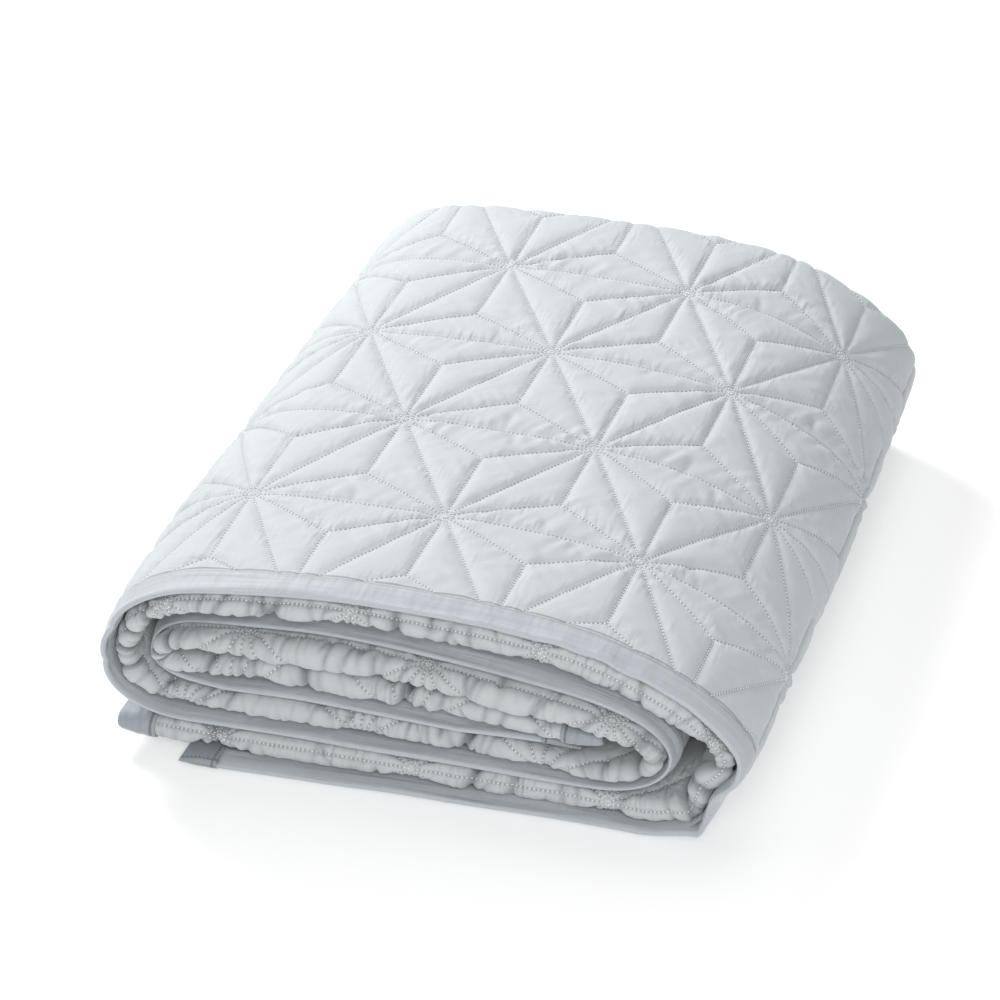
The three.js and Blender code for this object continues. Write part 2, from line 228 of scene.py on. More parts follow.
def place(s, v, lift):   # point in the object's frame, lifted from the middle of the cloth towards its face
    size, loose = clothSizes, looseness
    y, w, faceY, faceW = foldAt(v)
    along = s + slipAt(s, v)
    roll = rollAt(along)
    toFront = np.where(v < secondStart, 0, (firstEnd - y) / (firstEnd - frontTurnY))
    y = y + faceY * lift + roll["fold"] * toFront
    nearEdge = bell(v, loose["edgeReach"])
    nearRoll = bell(v - frontTurn, loose["rollReach"])
    w = (w + faceW * lift) * (1 - roll["press"])
    w = w + nearEdge * loose["bandWave"] * noise(s / loose["bandLength"], seed=3)
    flutter = smooth(s, *loose["flutterIn"]) * (1 - smooth(s, *loose["flutterOut"]))
    flutter = flutter * bell(v, loose["flutterReach"])
    w = w + flutter * loose["flutter"] * noise(s / loose["flutterLength"], seed=8)
    w = w + edgeRest(s, "sink") * bell(v, loose["sinkReach"])
    w = w - edgeRest(s, "rise") * bell(v - loose["riseAt"], loose["riseReach"])
    x = roll["x"] - roll["outX"] * w
    z = roll["z"] - roll["outZ"] * w
    for pinch in pinches:
        amount = np.exp(-np.abs((along - pinch["s"]) / pinch["spread"]) ** pinch["power"])
        amount = amount * np.exp(-np.clip(y, 0, None) / pinch["reach"])
        x = x + pinch["pushX"] * amount
        z = z + pinch["pushZ"] * amount
    taper = size["taperBefore"] * (np.minimum(y, size["waist"]) - size["taperStart"])
    taper = taper + size["taperAfter"] * np.clip(y - size["waist"], 0, None)
    left = 1 - smooth(x, size["sagLeft"], size["sagRight"])
    front = 1 - np.clip(y / size["sagRun"], 0, 1)
    z = z * (1 - size["cornerSag"] * front * left)
    x = x - taper * smooth(x, 0, size["halfWidth"]) - size["middleX"]
    y = y + nearEdge * loose["edgeWave"] * noise(s / loose["edgeLength"], seed=1)
    y = y + nearRoll * loose["rollWave"] * noise(s / loose["rollLength"], seed=2)
    return np.column_stack([x, roll["edge"] + y - size["middleY"], np.maximum(z, 0)]) * mm


# Hemp-leaf quilting: a triangular net of stars, and rays from the middle of each triangle to its corners
# p and q are distances along and across from a star of the net

quilting = {
    "starPitch": 128.0, "edgeStitches": 44, "rayStitches": 25,
    "hub": 3.6, "edgeHub": 0.3,  # the rays end this far from a star, and the edges this share of it
}
starPitch = quilting["starPitch"]
starRow = starPitch * np.sqrt(3) / 2


def cornerShares(p, q):  # shares of a triangle's three corners at a point, smallest first
    across = q / starRow
    along = p / starPitch - across / 2
    rise = across - np.floor(across)
    lean = along - np.floor(along)
    upright = rise + lean < 1
    one = np.where(upright, rise, 1 - rise)
    two = np.where(upright, lean, 1 - lean)
    return np.sort(np.stack([one, two, np.abs(1 - rise - lean)]), axis=0)


def stitchDistance(p, q):
    low, middle, high = cornerShares(p, q)
    return starRow * np.minimum(low, (middle - low) / np.sqrt(3))


faceNet = {"along": 660.0, "across": 108.3, "steps": 48}
reverseNet = {
    "along": 69.0, "across": 1062.5, "steps": 84,  # a star that shows on the front rolls
    "stretchFrom": 320.0, "stretch": -0.075,  # the inner passes lie a little shorter
    "drift": -0.0113, "driftReach": (60.0, 220.0), "samples": 4001,
}


def faceToCloth(p, q):
    return p + faceNet["along"], q + faceNet["across"]


def reverseTables():     # s and p along the front rolls, where the inner plies take the short way round
    s = np.linspace(0, rollLength, reverseNet["samples"])
    points = place(s, np.full(len(s), frontTurn), np.zeros(len(s))) / mm
    steps = np.hypot(np.diff(points[:, 0]), np.diff(points[:, 2]))
    arc = np.concatenate([[0], np.cumsum(steps)])
    arc = arc - reverseNet["stretch"] * np.clip(arc - reverseNet["stretchFrom"], 0, None)
    return s, arc - reverseNet["along"]


reverseS, reverseP = reverseTables()


def reverseToCloth(p, q):
    s = np.interp(p, reverseP, reverseS)
    near = 1 - smooth(np.abs(q), *reverseNet["driftReach"])
    return s, q + reverseNet["across"] + near * reverseNet["drift"] * s


# Puffs between the stitch lines and puckers along them

facePadding = {
    "stitched": 0.7, "rise": 2.7, "crown": 17.0, "crownShare": 0.3, "puckering": 1.0,
    "seamRise": 6.0, "unevenness": 0.5, "unevenLength": 70.0, "overfill": 0.8,
}
reversePadding = {
    "stitched": 0.7, "rise": 3.0, "crown": 15.0, "crownShare": 0.35, "puckering": 0.8,
    "seamRise": 6.0, "unevenness": 0.6, "unevenLength": 55.0, "overfill": 0.8,
}
puckerLines = table(
    "angle spacing length height reach slant",
    (0, starRow, 6.0, 1.5, 7.0, 0.5),
    (60, starRow, 9.5, 0.4, 5.5, 0.3),
    (120, starRow, 9.5, 0.5, 5.5, -0.3),
    (30, starPitch / 2, 8.0, 0.7, 5.5, 0.2),
    (90, starPitch / 2, 9.0, 0.3, 5.0, 0.2),
    (150, starPitch / 2, 7.0, 1.0, 6.0, -0.2),
)
puckerDraw = {"rowShift": 31.7, "sideShift": 13.1, "seed": 10, "strengthLength": 46.0, "strengthSeed": 30}
unevenShift = 3.1
marginTaper = {"thinnest": 0.5, "from": 1.0, "to": 15.0}


def puffAt(distance, look):  # 0 on a stitch line, 1 in the middle of a puff
    crown = np.clip(distance / look["crown"], 0, 1)
    edge = 1 - np.exp(-distance / look["rise"])
    return (1 - look["crownShare"]) * edge + look["crownShare"] * crown * (2 - crown)


def puckersAt(p, q):     # short wrinkles that start at a stitch line and run away from it
    draw = puckerDraw
    total = np.zeros(len(p))
    for index, line in enumerate(puckerLines):
        angle = np.radians(line["angle"])
        along = p * np.cos(angle) + q * np.sin(angle)
        across = q * np.cos(angle) - p * np.sin(angle)
        row = np.round(across / line["spacing"])
        away = across - row * line["spacing"]
        shift = row * draw["rowShift"] + (away > 0) * draw["sideShift"]
        leaning = (along + line["slant"] * away) / line["length"] + shift
        wrinkle = 2 * np.abs(noise(leaning, draw["seed"] + index)) - 1
        strength = noiseShare(along / draw["strengthLength"] + shift, draw["strengthSeed"] + index)
        far = np.abs(away) / line["reach"]
        total = total + line["height"] * wrinkle * strength * far * np.exp(1 - far)
    return total


def edgeTaper(fromEdge):  # the bound margin thins out towards its edge
    thinnest = marginTaper["thinnest"]
    return thinnest + (1 - thinnest) * smooth(fromEdge, marginTaper["from"], marginTaper["to"])


def edgeDistance(s, v):  # from the seam of the nearest binding
    fromEnd = np.minimum(s, rollLength - s) - bindingCloth["endWidth"]
    return np.minimum(fromEnd, np.minimum(v, clothWidth - v) - bindingCloth["longWidth"])


def quiltLift(p, q, s, v, shown, look):  # height of one cloth of the quilt above the middle of the padding
    half = clothSizes["ply"] / 2
    fromEdge = np.minimum(np.minimum(s, rollLength - s), np.minimum(v, clothWidth - v))
    margin = clothSizes["marginPly"] / 2 * edgeTaper(fromEdge)
    puff = puffAt(stitchDistance(p, q), look)
    lift = look["stitched"] + (half - look["stitched"]) * puff + look["puckering"] * puckersAt(p, q)
    uneven = noise(p / look["unevenLength"] + unevenShift, seed=5) * noise(q / look["unevenLength"], seed=6)
    lift = np.minimum(lift + look["unevenness"] * puff * uneven, half + look["overfill"])
    lift = half + (lift - half) * shown
    seam = 1 - np.exp(-np.clip(edgeDistance(s, v), 0, None) / look["seamRise"])
    return margin + (lift - margin) * seam


# Meshes from rows of points

netTolerance = {"same": 0.01, "off": 0.1, "nudge": 1e-7}


def zipRows(one, two, oneStart, twoStart):  # triangles between two rows, whatever marks each of them has
    order = np.argsort(np.concatenate([one[1:], two[1:]]), kind="stable")
    fromOne = order < len(one) - 1
    i = oneStart + np.cumsum(fromOne) - fromOne
    j = twoStart + np.cumsum(~fromOne) - ~fromOne
    third = np.where(fromOne, i + 1, j + 1)
    return np.column_stack([i, third, j])


def turnEdges(triangles, p, q):  # turn each edge that crosses a stitch line so that it lies along the line
    limit = netTolerance
    sides = np.concatenate([triangles[:, [0, 1]], triangles[:, [1, 2]], triangles[:, [2, 0]]])
    owner = np.tile(np.arange(len(triangles)), 3)
    keys = np.sort(sides, axis=1)
    order = np.lexsort((keys[:, 1], keys[:, 0]))
    keys, owner = keys[order], owner[order]
    twin = np.flatnonzero((keys[1:] == keys[:-1]).all(axis=1))
    a, b = keys[twin].T
    near = triangles[owner[twin]].sum(axis=1) - a - b
    far = triangles[owner[twin + 1]].sum(axis=1) - a - b
    middleP, middleQ = (p[a] + p[b]) / 2, (q[a] + q[b]) / 2
    apart = np.hypot(middleP - (p[near] + p[far]) / 2, middleQ - (q[near] + q[far]) / 2)
    onLine = stitchDistance(middleP + limit["nudge"], middleQ + limit["nudge"]) < limit["same"]
    crosses = (apart < limit["same"]) & onLine & (stitchDistance(p[a], q[a]) > limit["off"])
    turned = triangles.copy()
    for k in np.flatnonzero(crosses):
        one, two = owner[twin[k]], owner[twin[k] + 1]
        corners = list(triangles[one])
        at = corners.index(near[k])
        start, end = corners[(at + 1) % 3], corners[(at + 2) % 3]
        turned[one] = (near[k], start, far[k])
        turned[two] = (near[k], far[k], end)
    return turned


def addObject(name, data):
    made = bpy.data.objects.new(name, data)
    bpy.context.scene.collection.objects.link(made)
    return made


def addMesh(name, points, faces, finish, uv=None, tuck=None):
    mesh = bpy.data.meshes.new(name)
    mesh.from_pydata(points.tolist(), [], faces)
    mesh.polygons.foreach_set("use_smooth", np.ones(len(mesh.polygons), bool))
    if uv is not None:
        corner = np.zeros(len(mesh.loops), np.int32)
        mesh.loops.foreach_get("vertex_index", corner)
        layer = mesh.uv_layers.new(name="cloth")
        layer.data.foreach_set("uv", uv[corner].astype(np.float32).ravel())
    if tuck is not None:
        mesh.attributes.new("tuck", "FLOAT", "POINT").data.foreach_set("value", tuck.astype(np.float32))
    mesh.materials.append(finish)
    mesh.update()
    return addObject(name, mesh)


def makeCloth(name, rows, toCloth, liftAt, tuckAt, side, finish):
    starts = np.concatenate([[0], np.cumsum([len(marks) for across, marks in rows])])
    p = np.concatenate([marks for across, marks in rows])
    q = np.concatenate([np.full(len(marks), across) for across, marks in rows])
    pairs = zip(rows, rows[1:], starts, starts[1:])
    triangles = np.concatenate([zipRows(one[1], two[1], i, j) for one, two, i, j in pairs])
    triangles = turnEdges(triangles, p, q)
    s, v = toCloth(p, q)
    lift = liftAt(p, q, s, v)
    points = place(s, v, side * lift)
    outwards = place(s, v, side * lift + side) - points
    a, b, c = points[triangles].transpose(1, 0, 2)
    facing = np.einsum("ij,ij->", np.cross(b - a, c - a), outwards[triangles[:, 0]])
    triangles = triangles if facing > 0 else triangles[:, ::-1]
    uv = np.column_stack([p, q]) * mm
    return addMesh(name, points, triangles.tolist(), finish, uv, tuckAt(p, q, s, v))


def loopFaces(rowCount, markCount):  # faces between rows of points that close into a ring
    faces = []
    for row in range(rowCount):
        here, there = row * markCount, (row + 1) % rowCount * markCount
        for mark in range(markCount - 1):
            faces.append((here + mark, here + mark + 1, there + mark + 1, there + mark))
    return faces


# Finishes

def mathsOperator(operation, swapped=False):
    def work(self, other):
        values = (other, self) if swapped else (self, other)
        return self.node("ShaderNodeMath", {"operation": operation}, dict(enumerate(values)))

    return work


class Socket:            # a socket that works in Python sums, and makes any other node beside it
    __add__ = mathsOperator("ADD")
    __radd__ = mathsOperator("ADD", swapped=True)
    __sub__ = mathsOperator("SUBTRACT")
    __rsub__ = mathsOperator("SUBTRACT", swapped=True)
    __mul__ = mathsOperator("MULTIPLY")
    __rmul__ = mathsOperator("MULTIPLY", swapped=True)
    __truediv__ = mathsOperator("DIVIDE")
    __rtruediv__ = mathsOperator("DIVIDE", swapped=True)
    __lt__ = mathsOperator("LESS_THAN")
    __gt__ = mathsOperator("GREATER_THAN")
    least = mathsOperator("MINIMUM")
    most = mathsOperator("MAXIMUM")

    def __init__(self, tree, output=None):
        self.tree = tree
        self.output = output

    def node(self, kind, settings=None, sockets=None, output=0):
        made = self.tree.nodes.new(kind)
        for name, value in (settings or {}).items():
            setattr(made, name, value)
        for name, value in (sockets or {}).items():
            if isinstance(value, Socket):
                self.tree.links.new(value.output, made.inputs[name])
            else:
                made.inputs[name].default_value = value
        return Socket(self.tree, made.outputs[output])

    def maths(self, operation):
        return self.node("ShaderNodeMath", {"operation": operation}, {0: self})

    def __abs__(self):
        return self.maths("ABSOLUTE")

    def fade(self, low, high):  # 1 below low, 0 above high
        limits = {"Value": self, "From Min": low, "From Max": high, "To Min": 1.0, "To Max": 0.0}
        return self.node("ShaderNodeMapRange", {"interpolation_type": "SMOOTHSTEP"}, limits)

    def blend(self, one, two):  # colour one where self is 0, two where it is 1
        return self.node("ShaderNodeMix", {"data_type": "RGBA"}, {0: self, 6: one, 7: two}, output=2)

    def noises(self, layers):  # noise stretched along and across the cloth, by the layer's name
        made = {}
        for name, (along, across, detail) in layers.items():
            scale = {0: self, 1: (along, across, 1.0)}
            stretched = self.node("ShaderNodeVectorMath", {"operation": "MULTIPLY"}, scale)
            look = {"Vector": stretched, "Scale": 1.0, "Detail": detail}
            made[name] = self.node("ShaderNodeTexNoise", None, look)
        return made


def startFinish(name, constants):
    finish = bpy.data.materials.new(name)
    finish.use_nodes = True
    shader = finish.node_tree.nodes["Principled BSDF"]
    for socket, value in constants.items():
        shader.inputs[socket].default_value = value
    return finish, shader, Socket(finish.node_tree)


def startCotton(name, look):  # a cotton finish, and the cloth's UV map as a whole and in its two parts
    finish, shader, start = startFinish(name, {
        "Roughness": look["roughness"], "Sheen Weight": look["sheen"],
        "Sheen Roughness": look["sheenRoughness"], "Specular IOR Level": look["gloss"],
    })
    cloth = start.node("ShaderNodeUVMap", {"uv_map": "cloth"})
    along, across = (start.node("ShaderNodeSeparateXYZ", None, {0: cloth}, output=k) for k in (0, 1))
    return finish, shader, cloth, along, across


def tintOf(noises, shares, look):  # the cotton's two colours, in streaks
    streak = sum((noises[name] - 0.5) * share for name, share in shares.items())
    return (streak * look["streaks"] + 0.5).blend(look["shade"], look["light"])


def connect(shader, colour, height, strength=1.0, distance=1.0):
    bump = {"Strength": strength, "Distance": distance, "Height": height}
    normal = colour.node("ShaderNodeBump", None, bump)
    colour.tree.links.new(colour.output, shader.inputs["Base Color"])
    colour.tree.links.new(normal.output, shader.inputs["Normal"])


def stitchLines(p, q):   # distance to a stitch line, to its nearest needle hole and to a star, in metres
    across = q / (starRow * mm)
    along = p / (starPitch * mm) - across * 0.5
    rise = across.maths("FRACT")
    lean = along.maths("FRACT")
    total = rise + lean
    turned = 1 - (total < 1.0)
    one = rise + turned * (1 - rise * 2)
    two = lean + turned * (1 - lean * 2)
    three = abs(1 - total)
    low = one.least(two).least(three)
    high = one.most(two).most(three)
    middle = 1 - low - high
    fromEdge = low * (starRow * mm)
    fromRay = (middle - low) * (starRow * mm / np.sqrt(3))
    onEdge = fromEdge < fromRay
    edgeSteps = (high - middle) * (quilting["edgeStitches"] / 2)
    raySteps = (high - 1 / 3) * (quilting["rayStitches"] * 1.5)
    steps = raySteps + onEdge * (edgeSteps - raySteps)
    alongHole = abs((steps + 0.5).maths("FRACT") - 0.5) * (starPitch * mm / quilting["edgeStitches"])
    distance = fromEdge.least(fromRay)
    toHole = (distance * distance + alongHole * alongHole).maths("SQRT")
    return distance, toHole, (1 - high) * (starRow * mm)


quiltWeave = {           # scale along and across the cloth, and detail
    "weft": (320.0, 1700.0, 2.0), "warp": (1900.0, 260.0, 2.0),
    "slub": (60.0, 900.0, 3.0), "cloudy": (14.0, 14.0, 4.0),
    "ticks": (145.0, 30.0, 1.0), "crossTicks": (34.0, 130.0, 1.0), "patchy": (18.0, 24.0, 1.0),
}
quiltStreaks = {"weft": 0.35, "warp": 0.25, "slub": 0.5, "cloudy": 0.5}
stitchMarks = {          # distances in metres, and plain shares
    "puckerFrom": 0.002, "crossTicks": 0.5, "patches": (0.4, 0.62), "patchTop": 1.25,
    "hubCrease": (0.002, 0.006), "hubCreaseLess": 0.7, "hole": (0.0005, 0.0012), "hubHole": (0.002, 0.0045),
    "seam": (0.0004, 0.001),
}


def quiltedCotton(name, look):
    finish, shader, cloth, along, across = startCotton(name, look)
    distance, hole, fromStar = stitchLines(along, across)
    noises = cloth.noises(quiltWeave)
    marks = stitchMarks
    pucker = abs(noises["ticks"] - 0.5) + abs(noises["crossTicks"] - 0.5) * marks["crossTicks"]
    pucker = pucker * distance.fade(marks["puckerFrom"], look["puckerReach"])
    pucker = pucker * (marks["patchTop"] - noises["patchy"].fade(*marks["patches"]))
    # painted shade: the cotton is darkened along each stitch groove, less near a star
    crease = distance.fade(0.0, look["creaseWidth"])
    crease = crease * (1 - fromStar.fade(*marks["hubCrease"]) * marks["hubCreaseLess"])
    # painted shade in the needle holes, left out round the stars
    needle = hole.fade(*marks["hole"]) * (1 - fromStar.fade(*marks["hubHole"]))
    # painted shade along the seam where the binding meets the cloth
    seam = abs(across - look["seamAt"] * mm).fade(*marks["seam"])
    # painted shade inside the creases and bunched folds, read from each point's tuck
    tuck = cloth.node("ShaderNodeAttribute", {"attribute_name": "tuck"}, None, output=2)
    paintedShade = (crease * look["creasePaintedShade"]).most(needle * look["holePaintedShade"])
    paintedShade = paintedShade.most(seam * look["seamPaintedShade"]).most(tuck * look["tuckPaintedShade"])
    height = (noises["weft"] + noises["warp"]) * look["weave"] + noises["slub"] * look["slub"]
    height = height - crease * look["creaseDepth"] - needle * look["holeDepth"] + pucker * look["puckerDepth"]
    # the deep colour is the painted shade, laid over the cotton's tint where the masks above are strongest
    connect(shader, paintedShade.blend(tintOf(noises, quiltStreaks, look), look["deep"]), height)
    return finish


# deep is the colour of the shade painted into the stitch grooves, needle holes, binding seam and creases
faceCotton = quiltedCotton("face cotton", {
    "light": (0.48, 0.514, 0.53, 1), "shade": (0.415, 0.449, 0.465, 1), "deep": (0.23, 0.26, 0.28, 1),
    "streaks": 1.2, "roughness": 0.72, "sheen": 0.25, "sheenRoughness": 0.45, "gloss": 0.3,
    "seamAt": 21.2 - faceNet["across"], "seamPaintedShade": 0.85, "tuckPaintedShade": 0.5,
    "creaseWidth": 0.0014, "creasePaintedShade": 0.22, "creaseDepth": 0.00012,
    "puckerReach": 0.014, "puckerDepth": 0.0021,
    "holePaintedShade": 0.65, "holeDepth": 0.0002, "weave": 0.00008, "slub": 0.0001,
})
reverseCotton = quiltedCotton("reverse cotton", {
    "light": (0.465, 0.488, 0.497, 1), "shade": (0.402, 0.423, 0.432, 1), "deep": (0.18, 0.19, 0.20, 1),
    "streaks": 0.9, "roughness": 0.78, "sheen": 0.25, "sheenRoughness": 0.45, "gloss": 0.25,
    "seamAt": 21.0 - reverseNet["across"], "seamPaintedShade": 0.75, "tuckPaintedShade": 0.9,
    "creaseWidth": 0.0014, "creasePaintedShade": 0.15, "creaseDepth": 0.00012,
    "puckerReach": 0.018, "puckerDepth": 0.0048,
    "holePaintedShade": 0.5, "holeDepth": 0.0002, "weave": 0.00006, "slub": 0.00007,
})
bindingWeave = {         # as the quilt's weave
    "weft": (900.0, 5200.0, 2.0), "warp": (5200.0, 700.0, 2.0),
    "brushed": (18.0, 420.0, 4.0), "folds": (9.0, 150.0, 2.0), "gather": (95.0, 30.0, 2.0),
}
bindingStreaks = {"weft": 0.4, "warp": 0.3, "brushed": 1.1, "folds": 0.5}
sewnFade = (0.0004, 0.0011)


def bindingCotton(name, look):
    finish, shader, cloth, along, girth = startCotton(name, look)
    noises = cloth.noises(bindingWeave)
    alongSeam = abs(abs(girth) - look["sewnAt"] * mm)
    acrossEnd = abs(along - look["hemAt"] * mm)
    # painted shade along the sewn lines, in the deep colour
    sewn = alongSeam.least(acrossEnd).fade(*sewnFade)
    height = (noises["weft"] + noises["warp"]) * look["weave"] + noises["brushed"] * look["wrinkle"]
    height = height + noises["folds"] * look["fold"] + noises["gather"] * look["gather"]
    height = height - sewn * look["sewnDepth"]
    tint = tintOf(noises, bindingStreaks, look)
    connect(shader, (sewn * look["sewnPaintedShade"]).blend(tint, look["deep"]), height)
    return finish


# deep is the colour of the shade painted along the sewn lines
slateCotton = bindingCotton("slate binding", {
    "light": (0.42, 0.455, 0.485, 1), "shade": (0.35, 0.38, 0.405, 1), "deep": (0.16, 0.18, 0.20, 1),
    "streaks": 0.6, "roughness": 0.6, "sheen": 0.3, "sheenRoughness": 0.4, "gloss": 0.4,
    "weave": 0.00002, "wrinkle": 0.0003, "fold": 0.0016, "gather": 0.0017,
    "sewnAt": 17.0, "hemAt": -10.0, "sewnPaintedShade": 0.35, "sewnDepth": 0.00012,
})
# the same slate binding in a darker copy for the end strips: painted shade on the ends of the quilt
endCottonPaintedShade = bindingCotton("slate end binding, painted shade", {
    "light": (0.285, 0.318, 0.345, 1), "shade": (0.235, 0.262, 0.285, 1), "deep": (0.09, 0.105, 0.12, 1),
    "streaks": 1.0, "roughness": 0.6, "sheen": 0.3, "sheenRoughness": 0.4, "gloss": 0.4,
    "weave": 0.00002, "wrinkle": 0.0005, "fold": 0.0014, "gather": 0.0009,
    "sewnAt": 22.6, "hemAt": 3.2, "sewnPaintedShade": 0.7, "sewnDepth": 0.0003,
})
threadTwist = {"scale": 1800.0, "detail": 1.0, "strength": 0.4, "height": 0.00015}
threadShine = {"Roughness": 0.55, "Sheen Weight": 0.2, "Specular IOR Level": 0.4}


def spunThread(name, light, shade):
    finish, shader, start = startFinish(name, threadShine)
    place = start.node("ShaderNodeTexCoord", None, None, output=3)
    look = {"Vector": place, "Scale": threadTwist["scale"], "Detail": threadTwist["detail"]}
    twist = start.node("ShaderNodeTexNoise", None, look)
    connect(shader, twist.blend(shade, light), twist, threadTwist["strength"], threadTwist["height"])
    return finish


faceThread = spunThread("face thread", (0.80, 0.83, 0.84, 1), (0.68, 0.71, 0.73, 1))
reverseThread = spunThread("reverse thread", (0.82, 0.83, 0.83, 1), (0.70, 0.71, 0.71, 1))
slateThread = spunThread("slate thread", (0.36, 0.40, 0.44, 1), (0.27, 0.30, 0.34, 1))
print("finishes made")


# Quilt: the face cloth and the reverse cloth, stitched through the padding

bindingCloth = {
    "longWidth": 18.3, "endWidth": 25.3, "cloth": 1.2, "inside": 2.8, "nose": 3.0, "hem": 0.6, "gap": 0.3,
    "wrinkle": 0.75, "wrinkleAlong": 90.0, "wrinkleAcross": 6.0, "wrinkleSeed": 41,
    "fine": 0.5, "fineAlong": 38.0, "fineAcross": 4.5, "fineSeed": 43,
    "flatReach": 5.0, "endRound": 4.0, "endLeast": 0.03,
}
seam = bindingCloth["longWidth"]
endSeam = bindingCloth["endWidth"]
sheetRows = {            # gaps between the rows and the marks where little shows
    "first": 4.0, "second": 12.0, "hidden": 40.0, "turn": 3.0, "afterTurn": 20.0, "besideSeam": 2.0,
    "endGap": 4.0, "endSeamGap": 1.8, "joinGap": 2.2,
}
faceSheet = {
    "fineFrom": 318.0, "fineTo": 1020.0, "fineFade": 20.0,  # the part of the face that shows, along the roll
    "quiltedFrom": 300.0, "quiltedFade": 45.0,
    "backFrom": 488.0, "backFade": 10.0, "netTo": 575.0, "netFade": 8.0,  # across the cloth
    "pressedFrom": 470.0, "pressed": 0.5,  # the puffs are flatter round the back fold
    "bottomStep": 16.0, "innerStep": 20.0, "backStep": 5.4, "seamGap": 0.8, "afterNet": 10.0,
    "sewnFrom": 325.0, "sewnTo": 1010.0, "sewnGap": 1.5, "sewnPast": 15.0,
    "tuckDepth": 4.0, "dentSharpness": 1.5, "dentSquareness": 4,
}
reverseSheet = {
    "fineReach": 34.0, "fineFade": 6.0, "insideReach": 190.0, "insideFade": 20.0, "insideShare": 0.5,
    "insideRow": 6.0, "insideStep": 9.0, "coarseStep": 20.0,
    "endGap": 2.5, "afterSeam": 12.0, "beforeNet": 12.0, "afterInside": 25.0,
    "seamFade": (2.0, 10.0), "deepest": -2.5,
    "sewnGap": 3.0, "sewnBefore": 33.0, "sewnAfter": 34.0, "windowReach": 60.0,
    "tuckDepth": 3.6, "creaseFull": 0.4, "creaseSharpness": 1.3,
    "bunchFew": 1.5, "bunchVary": 0.4, "bunchSharpness": 1.4,
}


def endMarks(step):      # marks along the roll outside the fine net, as s
    look = sheetRows
    ends = np.array([look["first"], endSeam, endSeam + look["endSeamGap"]])
    count = int((rollLength - 2 * endSeam) / step)
    inner = np.linspace(endSeam + look["endGap"], rollLength - endSeam - look["endGap"], count)
    return np.concatenate([ends, inner, rollLength - ends[::-1]])


def netMarks(net, row, low, high):  # net points of one row, as p
    step = starPitch / net["steps"]
    shift = step / 2 if row % 2 else 0.0
    first, last = np.ceil((low - shift) / step), np.floor((high - shift) / step)
    return shift + step * np.arange(first, last + 1)


def joinMarks(fine, others):
    gap = sheetRows["joinGap"]
    return np.sort(np.concatenate([fine, others[(others < fine[0] - gap) | (others > fine[-1] + gap)]]))


def evenRows(low, high, step):
    return list(np.linspace(low, high, max(2, int(round((high - low) / step)) + 1)))


def lastRows(start):     # hidden rows up to the back binding
    rows = evenRows(start, clothWidth - seam - sheetRows["besideSeam"], sheetRows["hidden"])
    return rows + [clothWidth - seam, clothWidth - sheetRows["first"]]


def turnRows(start, end):
    return evenRows(start + sheetRows["turn"], end, sheetRows["turn"])


def faceRows():
    look = faceSheet
    shift, across = faceNet["along"], faceNet["across"]
    bottom, inner, back = (endMarks(look[key]) for key in ("bottomStep", "innerStep", "backStep"))
    outside = np.concatenate([bottom[bottom < look["fineFrom"]], inner[inner > look["fineTo"]]]) - shift
    low, high = look["fineFrom"] - shift, look["fineTo"] - shift
    rows = [(v - across, back - shift) for v in (sheetRows["first"], sheetRows["second"])]
    rows.append((seam - across, joinMarks(netMarks(faceNet, 0, low, high), outside)))
    netRow = starRow / faceNet["steps"]
    firstRow = int(np.ceil((seam + look["seamGap"] - across) / netRow))
    lastRow = int(np.floor((look["netTo"] - across) / netRow))
    for row in range(firstRow, lastRow + 1):
        q = row * netRow
        others = back - shift if q + across > look["backFrom"] else outside
        rows.append((q, joinMarks(netMarks(faceNet, row, low, high), others)))
    hidden = evenRows(look["netTo"] + look["afterNet"], secondEnd, sheetRows["hidden"])
    hidden += turnRows(secondEnd, thirdStart) + lastRows(thirdStart + sheetRows["afterTurn"])
    return rows + [(v - across, inner - shift) for v in hidden]


faceDents = table(
    "p q length width depth slant",
    (-2, 121, 9, 2.4, 2.2, 0.0),  # short creases that start at the stitch lines across the top
    (4, 115, 5, 2.2, 1.6, 0.3),
    (-12, 100, 8, 2.4, 2.0, 0.2),
    (-158, 14, 8, 2.6, 2.2, -0.3),
    (-166, 4, 6, 2.4, 1.6, 0.2),
    (-62, 8, 7, 2.4, 1.6, 0.4),
    (-84, -7, 6, 2.4, 1.4, -0.2),
    (62, 8, 7, 2.4, 1.5, 0.3),
    (-126, 118, 8, 2.4, 1.8, -0.2),
    (-150, 103, 7, 2.4, 1.6, 0.3),
    (40, 231, 8, 2.4, 1.8, 0.2),
    (-70, 214, 7, 2.4, 1.5, -0.3),
    (-190, 232, 8, 2.6, 2.0, 0.2),
    (-118, 340, 8, 2.4, 1.6, 0.3),
)


def dentsAt(p, q):
    sharpness, squareness = faceSheet["dentSharpness"], faceSheet["dentSquareness"]
    total = np.zeros(len(p))
    for dent in faceDents:
        across = q - dent["q"]
        away = (p - dent["p"] - dent["slant"] * across) / dent["width"]
        reach = (across / dent["length"]) ** squareness
        total = total + dent["depth"] * np.exp(-np.abs(away) ** sharpness - reach)
    return total


def faceLift(p, q, s, v):
    look = faceSheet
    shown = smooth(s, look["quiltedFrom"], look["quiltedFrom"] + look["quiltedFade"])
    netted = 1 - smooth(v, look["netTo"] - look["netFade"], look["netTo"])
    fine = 1 - smooth(s, look["fineTo"] - look["fineFade"], look["fineTo"])
    back = smooth(v, look["backFrom"], look["backFrom"] + look["backFade"])
    pressed = 1 - look["pressed"] * smooth(v, look["pressedFrom"], firstEnd)
    shown = shown * netted * np.maximum(fine, back) * pressed
    return quiltLift(p, q, s, v, shown, facePadding) - shown * dentsAt(p, q)


def reverseAlong(s):     # p of the reverse's net
    return np.interp(s, reverseS, reverseP)


